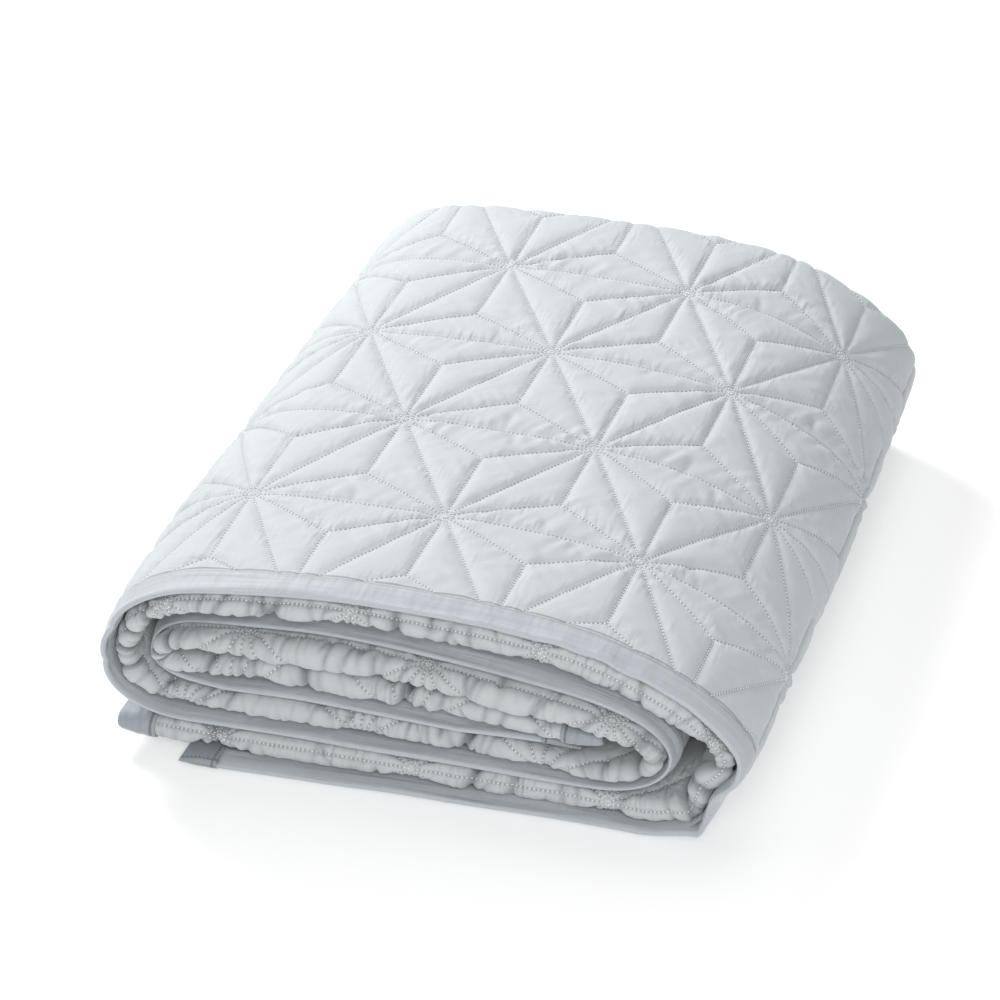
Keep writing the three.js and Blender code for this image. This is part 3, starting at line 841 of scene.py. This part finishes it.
def reverseRows():
    look = reverseSheet
    coarse = reverseAlong(endMarks(look["coarseStep"]))
    inside = reverseAlong(endMarks(look["insideStep"]))
    across = reverseNet["across"]
    netRow = starRow / reverseNet["steps"]
    low = reverseAlong(endSeam + look["endGap"])
    high = reverseAlong(rollLength - endSeam - look["endGap"])
    firstRow = int(np.ceil((secondEnd - look["fineReach"] - across) / netRow))
    lastRow = int(np.floor((thirdStart + look["fineReach"] - across) / netRow))
    hidden = [sheetRows["first"], sheetRows["second"], seam, seam + sheetRows["besideSeam"]]
    hidden += evenRows(seam + look["afterSeam"], firstEnd, sheetRows["hidden"])
    hidden += turnRows(firstEnd, secondStart)
    beforeNet = firstRow * netRow + across - look["beforeNet"]
    hidden += evenRows(secondStart + sheetRows["afterTurn"], beforeNet, sheetRows["hidden"])
    rows = [(v - across, coarse) for v in hidden]
    for row in range(firstRow, lastRow + 1):
        rows.append((row * netRow, joinMarks(netMarks(reverseNet, row, low, high), coarse)))
    deep = thirdStart + look["insideReach"]
    afterNet = evenRows(lastRow * netRow + across + look["insideRow"], deep, look["insideRow"])
    rows += [(v - across, inside) for v in afterNet]
    return rows + [(v - across, coarse) for v in lastRows(deep + look["afterInside"])]


rollCreases = table(
    "s v width length depth slant",
    (836, 1060, 3, 26, 4.0, 0.3),  # pinches inside the left outer fold
    (862, 1068, 3, 26, 6.0, -0.3),
    (889, 1066, 3, 28, 6.0, 0.2),
    (914, 1058, 4, 26, 4.0, 0.4),
    (1676, 1062, 3, 26, 4.5, 0.2),  # left inner fold
    (1697, 1066, 3, 28, 6.0, -0.1),
    (1719, 1060, 3, 24, 4.5, 0.2),
    (344, 1058, 5, 40, 3.6, 0.1),  # right outer fold
    (372, 1060, 5, 34, 3.2, -0.3),
    (401, 1058, 6, 34, 3.2, 0.25),
    (436, 1060, 6, 30, 2.6, -0.2),
    (1290, 1058, 5, 30, 3.0, 0.15),  # right inner fold
    (1322, 1058, 5, 30, 2.6, -0.2),
    (1352, 1058, 5, 30, 2.6, 0.2),
    (654, 1066, 3, 22, 5.5, -0.2),  # deep notches along the front rolls
    (735, 1064, 3, 18, 4.5, 0.2),
    (1168, 1056, 3, 22, 6.0, 0.3),
    (1824, 1062, 3, 20, 4.5, -0.2),
    (1886, 1064, 3, 22, 5.0, 0.2),
    (197, 1058, 3, 22, 4.0, 0.2),
    (60, 1058, 3, 20, 3.5, -0.2),
    (784, 1056, 2, 10, 2.0, 0.2),  # short tucks under the top band
    (770, 1055, 2, 12, 2.2, 0.7),
    (750, 1057, 2, 10, 2.4, 0.1),
    (740, 1059, 2, 9, 2.0, -0.2),
    (634, 1051, 2, 9, 3.0, 0.0),
    (622, 1058, 2, 9, 2.6, 0.2),
    (609, 1057, 2, 8, 2.6, -0.2),
    (1561, 1047, 2, 10, 2.4, 0.6),  # under the second band
    (1547, 1052, 2, 10, 2.4, 0.4),
    (1538, 1046, 2, 9, 2.6, 0.1),
    (1530, 1057, 2, 9, 2.2, -0.1),
    (1464, 1053, 2, 10, 2.2, 0.3),
    (1449, 1045, 2.2, 9, 3.0, 0.0),
    (1763, 1063, 2, 10, 2.2, 0.3),  # inner lower roll
    (1783, 1061, 2, 9, 2.2, -0.2),
    (1907, 1062, 2, 9, 2.4, 0.2),
    (1258, 1066, 2, 14, 2.8, 0.05),
    (963, 1062, 2.4, 16, 3.0, 0.5),  # second roll from the floor
    (996, 1064, 2, 11, 2.6, 0.5),
    (1012, 1063, 2, 10, 2.6, 0.4),
    (1152, 1066, 2, 9, 3.0, 0.0),
    (1174, 1067, 2, 8, 2.6, 0.2),
    (220, 1060, 2, 10, 2.4, 0.1),  # lowest roll
    (249, 1060, 2, 8, 2.0, -0.1),
)
swells = table(          # the inner rolls fill the hollow of the left inner fold
    "s along v across height",
    (1610, 75, 1076, 26, 3.4),
    (1795, 80, 1076, 26, 4.2),
)
bunchings = table(
    "spacing jitter depth width length slant stray seed",
    (23, 0.45, 2.7, 2.2, 20, 0.7, 10, 51),  # broad folds round the rolls
    (9, 0.45, 2.6, 1.5, 7, 0.8, 9, 61),  # short tucks between them
)


def creasesAt(s, v):
    look = reverseSheet
    total = np.zeros(len(s))
    for crease in rollCreases:
        across = v - crease["v"]
        away = (s - crease["s"] - crease["slant"] * across) / crease["width"]
        reach = 1 - smooth(np.abs(across), look["creaseFull"] * crease["length"], crease["length"])
        total = total + crease["depth"] * reach * np.exp(-np.abs(away) ** look["creaseSharpness"])
    return total


def bunchesAt(s, v):     # uneven creases round the front rolls, one in each short length of the roll
    few, vary, sharpness = (reverseSheet[key] for key in ("bunchFew", "bunchVary", "bunchSharpness"))
    deepest = np.zeros(len(s))
    for look in bunchings:
        seed = look["seed"]
        for near in (-1, 0, 1):
            k = np.floor(s / look["spacing"]) + near
            middle = (k + 0.5 + look["jitter"] * noise(k, seed)) * look["spacing"]
            depth = look["depth"] * noiseShare(k, seed + 1) ** few
            across = v - frontTurn - look["stray"] * noise(k, seed + 2)
            width = look["width"] * (1 + vary * noise(k, seed + 4))
            away = (s - middle - look["slant"] * noise(k, seed + 3) * across) / width
            trough = np.exp(-np.abs(away) ** sharpness) * bell(across, look["length"])
            deepest = np.maximum(deepest, depth * trough)
    return deepest


def swellsAt(s, v):
    total = np.zeros(len(s))
    for swell in swells:
        far = ((s - swell["s"]) / swell["along"]) ** 2 + ((v - swell["v"]) / swell["across"]) ** 2
        total = total + swell["height"] * np.exp(-far)
    return total


def reverseLift(p, q, s, v):
    look = reverseSheet
    reach = np.abs(v - frontTurn) - (thirdStart - secondEnd) / 2
    shown = 1 - smooth(reach, look["fineReach"] - look["fineFade"], look["fineReach"])
    inside = 1 - smooth(reach, look["insideReach"] - look["insideFade"], look["insideReach"])
    inside = look["insideShare"] * (v > frontTurn) * inside
    lift = quiltLift(p, q, s, v, np.maximum(shown, inside), reversePadding)
    inwards = smooth(edgeDistance(s, v), *look["seamFade"])
    lift = lift + inwards * (swellsAt(s, v) - creasesAt(s, v) - bunchesAt(s, v))
    return np.maximum(lift, look["deepest"])


def faceTuck(p, q, s, v):  # how far a point lies inside a crease, from 0 to 1, where shade is painted into the cotton
    return np.clip(dentsAt(p, q) / faceSheet["tuckDepth"], 0, 1)


def reverseTuck(p, q, s, v):
    return np.clip((creasesAt(s, v) + bunchesAt(s, v)) / reverseSheet["tuckDepth"], 0, 1)


quiltFace = makeCloth("quilt_face", faceRows(), faceToCloth, faceLift, faceTuck, 1, faceCotton)
quiltReverse = makeCloth(
    "quilt_reverse", reverseRows(), reverseToCloth, reverseLift, reverseTuck, -1, reverseCotton)
clothCounts = [len(piece.data.polygons) for piece in (quiltFace, quiltReverse)]
print("quilt:", clothCounts[0], "face and", clothCounts[1], "reverse triangles")


# Bindings: strips folded round the edges of the quilt

stripRows = table(
    "node width step stops wrinkles",
    ("binding_front", "longWidth", 3.0, 9, 1.0),
    ("binding_back", "longWidth", 6.0, 5, 0.6),
    ("binding_outer_end", "endWidth", 5.0, 7, 0.7),
    ("binding_inner_end", "endWidth", 5.0, 7, 0.7),
)
stripTable = {row["node"]: row for row in stripRows}
noseSteps = 6
turnMarks = 9
tabMarks = [0.5, 1.2, 2.2, 3.4]  # extra marks where the front end of an end strip closes


def stripSection(width, stops):  # distance in from the bound edge and lift, outside and inside of the cloth
    look = bindingCloth
    half = look["inside"] + look["cloth"]
    leg = np.linspace(width - look["gap"], look["nose"], stops)
    bend = np.linspace(np.pi / 2, -np.pi / 2, 2 * noseSteps + 1)[1:-1]
    hem = width - look["gap"] + look["hem"]
    outer = [(hem, half - look["cloth"] / 2)] + [(stop, half) for stop in leg]
    outer += [(look["nose"] * (1 - np.cos(a)), half * np.sin(a)) for a in bend]
    outer += [(stop, -half) for stop in leg[::-1]] + [(hem, -half + look["cloth"] / 2)]
    core = look["nose"] - look["cloth"]
    inner = [(leg[0], look["inside"])] + [(stop, look["inside"]) for stop in leg]
    inner += [(look["nose"] - core * np.cos(a), look["inside"] * np.sin(a)) for a in bend]
    inner += [(stop, -look["inside"]) for stop in leg[::-1]] + [(leg[0], -look["inside"])]
    return np.array(outer), np.array(inner)


def turnOutwards(piece):  # a closed piece whose faces look inwards is turned round
    mesh = piece.data
    mesh.calc_loop_triangles()
    corners = np.zeros(len(mesh.loop_triangles) * 3, np.int32)
    mesh.loop_triangles.foreach_get("vertices", corners)
    points = np.zeros(len(mesh.vertices) * 3)
    mesh.vertices.foreach_get("co", points)
    a, b, c = points.reshape(-1, 3)[corners].reshape(-1, 3, 3).transpose(1, 0, 2)
    if np.einsum("ij,ij->", np.cross(a, b), c) < 0:
        mesh.flip_normals()


def marksFor(low, high, step):
    return np.linspace(low, high, int((high - low) / step) + 1)


def isEndStrip(node):
    return stripTable[node]["width"] == "endWidth"


def stripMarks(node):    # marks along the strip: along the roll for a long edge, across the cloth for an end
    step = stripTable[node]["step"]
    if not isEndStrip(node):
        return marksFor(endSeam, rollLength - endSeam, step)
    turns = [np.linspace(firstEnd, secondStart, turnMarks), np.linspace(secondEnd, thirdStart, turnMarks)]
    return np.unique(np.concatenate([marksFor(0.0, clothWidth, step), *turns, tabMarks]))


def stripToCloth(node, mark, stop):
    places = {
        "binding_front": (mark, stop), "binding_back": (mark, clothWidth - stop),
        "binding_outer_end": (stop, mark), "binding_inner_end": (rollLength - stop, mark),
    }
    return places[node]


def makeStrip(node):
    look, cloth = stripTable[node], bindingCloth
    marks = stripMarks(node)
    outer, inner = stripSection(cloth[look["width"]], look["stops"])
    section = np.concatenate([outer, inner[::-1]])
    stop = np.repeat(section[:, 0], len(marks))
    lift = np.repeat(section[:, 1], len(marks))
    mark = np.tile(marks, len(section))
    side = np.sign(lift)
    girth = np.where(side >= 0, stop, -stop)
    wave = noise2(mark / cloth["wrinkleAlong"], girth / cloth["wrinkleAcross"], cloth["wrinkleSeed"])
    fine = noise2(mark / cloth["fineAlong"], girth / cloth["fineAcross"], cloth["fineSeed"])
    hem = section[1, 0]
    flat = smooth(stop, 0.0, cloth["flatReach"]) * (1 - smooth(stop, hem - cloth["flatReach"], hem))
    wrinkle = side * look["wrinkles"] * cloth["wrinkle"] * flat * (wave + cloth["fine"] * fine)
    lift = lift * edgeTaper(stop) + wrinkle
    if isEndStrip(node):
        near = np.minimum(mark - marks[0], marks[-1] - mark)
        closing = np.sqrt(np.clip(near / cloth["endRound"], 0, 1))
        lift = lift * (cloth["endLeast"] + (1 - cloth["endLeast"]) * closing)
    points = place(*stripToCloth(node, mark, stop), lift)
    count, rows = len(marks), len(section)
    faces = loopFaces(rows, count)
    for end in (0, count - 1):
        for k in range(len(outer) - 1):
            corners = [r * count + end for r in (k, k + 1, rows - 2 - k, rows - 1 - k)]
            faces.append(tuple(corners if end == 0 else corners[::-1]))
    # the end strips take the darker copy of the binding, painted shade
    finish = endCottonPaintedShade if isEndStrip(node) else slateCotton
    made = addMesh(node + "_cloth", points, faces, finish, np.column_stack([mark, girth]) * mm)
    turnOutwards(made)
    return made


strips = {node: makeStrip(node) for node in stripTable}
print("bindings:", sum(len(strip.data.polygons) for strip in strips.values()), "faces")


# Stitches: a path with a corner at each needle hole, and Geometry Nodes that lay a thread from hole to hole

stitchRows = table(
    "name width height cover raise vary seed",
    ("face_stitches", 0.85, 0.7, 0.56, 0.3, 0.12, 3),
    ("reverse_stitches", 0.75, 0.65, 0.52, 0.28, 0.15, 7),
    ("tab_stitches", 0.8, 0.6, 0.72, 0.2, 0.1, 11),
)
stitchTable = {row["name"]: row for row in stitchRows}
tabSeam = {"inset": 3.0, "from": 2.0, "to": 90.0, "frontFrom": 2.5, "pitch": 2.8, "side": -1}


def starAt(i, j):
    return np.array([starPitch * (i + j / 2), starRow * j])


def netLines(low, high):  # ends and stitch counts of every stitch line of the net in a window of p and q
    lines = []
    for j in range(int(low[1] // starRow) - 1, int(high[1] // starRow) + 2):
        first = int((low[0] - starPitch * j / 2) // starPitch) - 1
        last = int((high[0] - starPitch * j / 2) // starPitch) + 2
        for i in range(first, last):
            corners = (starAt(i, j), starAt(i + 1, j), starAt(i, j + 1), starAt(i + 1, j - 1))
            for k in (1, 2, 3):
                lines.append((corners[0], corners[k], quilting["edgeStitches"]))
            for triangle in ((0, 1, 2), (0, 1, 3)):
                middle = sum(corners[k] for k in triangle) / 3
                lines += [(middle, corners[k], quilting["rayStitches"]) for k in triangle]
    return lines


def pathObject(name, points, outwards, edges):
    outwards = outwards / np.linalg.norm(outwards, axis=1)[:, None]
    mesh = bpy.data.meshes.new(name)
    mesh.from_pydata(points.tolist(), edges, [])
    kept = mesh.attributes.new("outwards", "FLOAT_VECTOR", "POINT")
    kept.data.foreach_set("vector", outwards.astype(np.float32).ravel())
    return addObject(name, mesh)


def stitchPath(name, window, toCloth, liftAt, side, shown):
    lines = []
    for low, high, count in netLines(*window):
        lines.append(low + (high - low) * np.linspace(0, 1, count + 1)[:, None])
    starts = np.cumsum([0] + [len(line) for line in lines])
    firsts = np.concatenate([start + np.arange(len(line) - 1) for line, start in zip(lines, starts)])
    points = np.concatenate(lines)
    p, q = points.T
    s, v = toCloth(p, q)
    keep = shown(s, v)
    firsts = firsts[keep[firsts] & keep[firsts + 1]]
    low, middle, high = cornerShares(*(points[firsts] + points[firsts + 1]).T / 2)
    onEdge = low < (middle - low) / np.sqrt(3)
    hub = np.where(onEdge, quilting["edgeHub"], 1) * quilting["hub"]
    firsts = firsts[(1 - high) * starRow > hub]
    used = np.unique(np.concatenate([firsts, firsts + 1]))
    index = np.zeros(len(points), int)
    index[used] = np.arange(len(used))
    p, q, s, v = p[used], q[used], s[used], v[used]
    lift = liftAt(p, q, s, v)
    holes = place(s, v, side * (lift + stitchTable[name]["raise"]))
    outwards = place(s, v, side * (lift + 1)) - place(s, v, side * lift)
    return pathObject(name, holes, outwards, np.column_stack([index[firsts], index[firsts + 1]]).tolist())


def tabPath(name):       # a row of stitches along the outer tab's seam and one along its front end
    look = tabSeam
    side = look["side"]
    line = endSeam - look["inset"]
    along = np.arange(look["from"], look["to"], look["pitch"])
    across = np.arange(look["frontFrom"], line, look["pitch"])
    s = np.concatenate([np.full(len(along), line), across])
    v = np.concatenate([along, np.full(len(across), look["inset"])])
    lift = side * (bindingCloth["inside"] + bindingCloth["cloth"]) * edgeTaper(s)
    holes = place(s, v, lift + side * stitchTable[name]["raise"])
    outwards = place(s, v, lift + side) - place(s, v, lift)
    edges = [(k, k + 1) for k in range(len(s) - 1) if k + 1 != len(along)]
    return pathObject(name, holes, outwards, edges)


def stitchNodes():
    tree = bpy.data.node_groups.new("lay stitches", "GeometryNodeTree")
    inputs = {
        "Path": "Geometry", "Width": "Float", "Height": "Float", "Cover": "Float", "Vary": "Float",
        "Seed": "Int", "Thread": "Material",
    }
    for name, kind in inputs.items():
        tree.interface.new_socket(name, in_out="INPUT", socket_type="NodeSocket" + kind)
    tree.interface.new_socket("Stitches", in_out="OUTPUT", socket_type="NodeSocketGeometry")
    group = tree.nodes.new("NodeGroupInput")
    given = {name: Socket(tree, group.outputs[name]) for name in inputs}
    node = Socket(tree).node
    vector = {"data_type": "FLOAT_VECTOR"}

    def named(name):
        return node("GeometryNodeInputNamedAttribute", vector, {"Name": name})

    def stored(path, name, value):  # a value kept on each edge of the path
        sockets = {"Geometry": path, "Name": name, "Value": value}
        return node("GeometryNodeStoreNamedAttribute", {**vector, "domain": "EDGE"}, sockets)

    one, two = (node("GeometryNodeInputMeshEdgeVertices", output=f"Position {k}") for k in (1, 2))
    along = node("ShaderNodeVectorMath", {"operation": "SUBTRACT"}, {0: two, 1: one})
    path = stored(stored(given["Path"], "along", along), "up", named("outwards"))
    points = node("GeometryNodeMeshToPoints", {"mode": "EDGES"}, {0: path})
    axes = {"primary_axis": "X", "secondary_axis": "Z"}
    turned = node("FunctionNodeAxesToRotation", axes, {0: named("along"), 1: named("up")})
    length = node("ShaderNodeVectorMath", {"operation": "LENGTH"}, {0: named("along")}, output="Value")
    limits = {2: 1.0 - given["Vary"], 3: 1.0 + given["Vary"], "Seed": given["Seed"]}
    uneven = node("FunctionNodeRandomValue", {"data_type": "FLOAT"}, limits, output=1)
    reach = length * given["Cover"] * uneven
    size = node("ShaderNodeCombineXYZ", None, {0: reach, 1: given["Width"], 2: given["Height"]})
    grain = node("GeometryNodeMeshIcoSphere", None, {"Radius": 0.5, "Subdivisions": 1})
    laid = node("GeometryNodeInstanceOnPoints", None,
                {"Points": points, "Instance": grain, "Rotation": turned, "Scale": size})
    real = node("GeometryNodeRealizeInstances", None, {0: laid})
    soft = node("GeometryNodeSetShadeSmooth", None, {0: real})
    done = node("GeometryNodeSetMaterial", None, {"Geometry": soft, "Material": given["Thread"]})
    tree.links.new(done.output, tree.nodes.new("NodeGroupOutput").inputs[0])
    return tree


layStitches = stitchNodes()


def makeStitches(path, thread):
    look = stitchTable[path.name]
    modifier = path.modifiers.new("stitches", "NODES")
    modifier.node_group = layStitches
    values = {"Width": look["width"] * mm, "Height": look["height"] * mm, "Cover": look["cover"],
              "Vary": look["vary"], "Seed": look["seed"], "Thread": thread}
    for item in layStitches.interface.items_tree:
        if item.in_out == "INPUT" and item.name in values:
            modifier[item.identifier] = values[item.name]
    ready = path.evaluated_get(bpy.context.evaluated_depsgraph_get())
    mesh = bpy.data.meshes.new_from_object(ready)
    path.modifiers.remove(modifier)
    mesh.name = path.name
    for attribute in ("along", "up", "outwards"):
        if attribute in mesh.attributes:
            mesh.attributes.remove(mesh.attributes[attribute])
    path.data = mesh
    return path


def faceShown(s, v):
    look = faceSheet
    along = (s > look["sewnFrom"]) & (s < look["sewnTo"])
    return along & (v > seam + look["sewnGap"]) & (v < secondStart + look["sewnPast"])


def reverseShown(s, v):
    look = reverseSheet
    along = (s > endSeam + look["sewnGap"]) & (s < rollLength - endSeam - look["sewnGap"])
    return along & (v > secondEnd - look["sewnBefore"]) & (v < thirdStart + look["sewnAfter"])


faceWindow = ((faceSheet["fineFrom"] - faceNet["along"], seam - faceNet["across"]),
              (faceSheet["fineTo"] - faceNet["along"], faceSheet["netTo"] - faceNet["across"]))
reverseWindow = ((reverseP[0], secondEnd - reverseSheet["windowReach"] - reverseNet["across"]),
                 (reverseP[-1], thirdStart + reverseSheet["windowReach"] - reverseNet["across"]))
facePath = stitchPath("face_stitches", faceWindow, faceToCloth, faceLift, 1, faceShown)
faceStitches = makeStitches(facePath, faceThread)
reversePath = stitchPath("reverse_stitches", reverseWindow, reverseToCloth, reverseLift, -1, reverseShown)
reverseStitches = makeStitches(reversePath, reverseThread)
tabStitches = makeStitches(tabPath("tab_stitches"), slateThread)
stitchCounts = [len(piece.data.polygons) for piece in (faceStitches, reverseStitches)]
print("stitches:", stitchCounts[0], "face and", stitchCounts[1], "reverse triangles")


# What each piece rides on and stands for

flatQuilt = (clothWidth * mm, rollLength * mm)
for piece in (quiltFace, quiltReverse):
    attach(piece, "root")
    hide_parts("quilt")
for piece in (faceStitches, reverseStitches):
    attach(piece, "root")
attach(tabStitches, "root")
for node, strip in strips.items():
    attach(strip, "root")
    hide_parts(node)
for node, strip in strips.items():
    length = clothWidth if isEndStrip(node) else rollLength
    flatStrip = (2 * bindingCloth[stripTable[node]["width"]] * mm, length * mm)


# Floor, light and camera

studio = {
    "floor": (0.62, 0.62, 0.62, 1), "floorGlow": 0.39, "floorRoughness": 0.9, "floorGloss": 0.1,
    "floorHalf": 12.0, "floorLevel": -0.0004, "sky": 0.28, "white": (1, 1, 1, 1),
}
lamps = {
    "key": {"place": (-1.6, 1.4, 1.6), "size": 0.9, "power": 68.0},
    "top": {"place": (0.2, 0.4, 2.4), "size": 1.6, "power": 16.0},
    "left": {"place": (-2.2, -0.6, 1.1), "size": 1.4, "power": 10.0},
    "front": {"place": (0.8, -2.2, 1.5), "size": 1.2, "power": 47.0},
}
camera = {"place": (0.69227, -2.18391, 1.48299), "turn": (58.36, 0.0, 18.29), "lens": 144.0, "sensor": 36.0}


def makeFloor():
    finish = startFinish("studio floor", {
        "Roughness": studio["floorRoughness"], "Specular IOR Level": studio["floorGloss"],
        "Base Color": studio["floor"], "Emission Color": studio["white"],
        "Emission Strength": studio["floorGlow"],
    })[0]
    half = studio["floorHalf"]
    corners = np.array([(-half, -half, 0), (half, -half, 0), (half, half, 0), (-half, half, 0)], float)
    floor = addMesh("floor", corners, [(0, 1, 2, 3)], finish)
    floor.location.z = studio["floorLevel"]


def makeLight(name, look):
    light = bpy.data.lights.new(name, "AREA")
    light.size = look["size"]
    light.energy = look["power"]
    lamp = addObject(name, light)
    lamp.location = look["place"]
    lamp.rotation_euler = (-lamp.location).to_track_quat("-Z", "Y").to_euler()


def makeSky():
    sky = bpy.data.worlds.new("studio")
    sky.use_nodes = True
    background = sky.node_tree.nodes["Background"].inputs
    background["Color"].default_value = studio["white"]
    background["Strength"].default_value = studio["sky"]
    bpy.context.scene.world = sky


def makeCamera():
    data = bpy.data.cameras.new("camera")
    data.lens = camera["lens"]
    data.sensor_width = camera["sensor"]
    eye = addObject("camera", data)
    eye.location = camera["place"]
    eye.rotation_euler = np.radians(camera["turn"])
    bpy.context.scene.camera = eye


makeFloor()
for name, look in lamps.items():
    makeLight(name, look)
makeSky()
bpy.context.scene.view_settings.view_transform = "Standard"
makeCamera()
print("stage set")
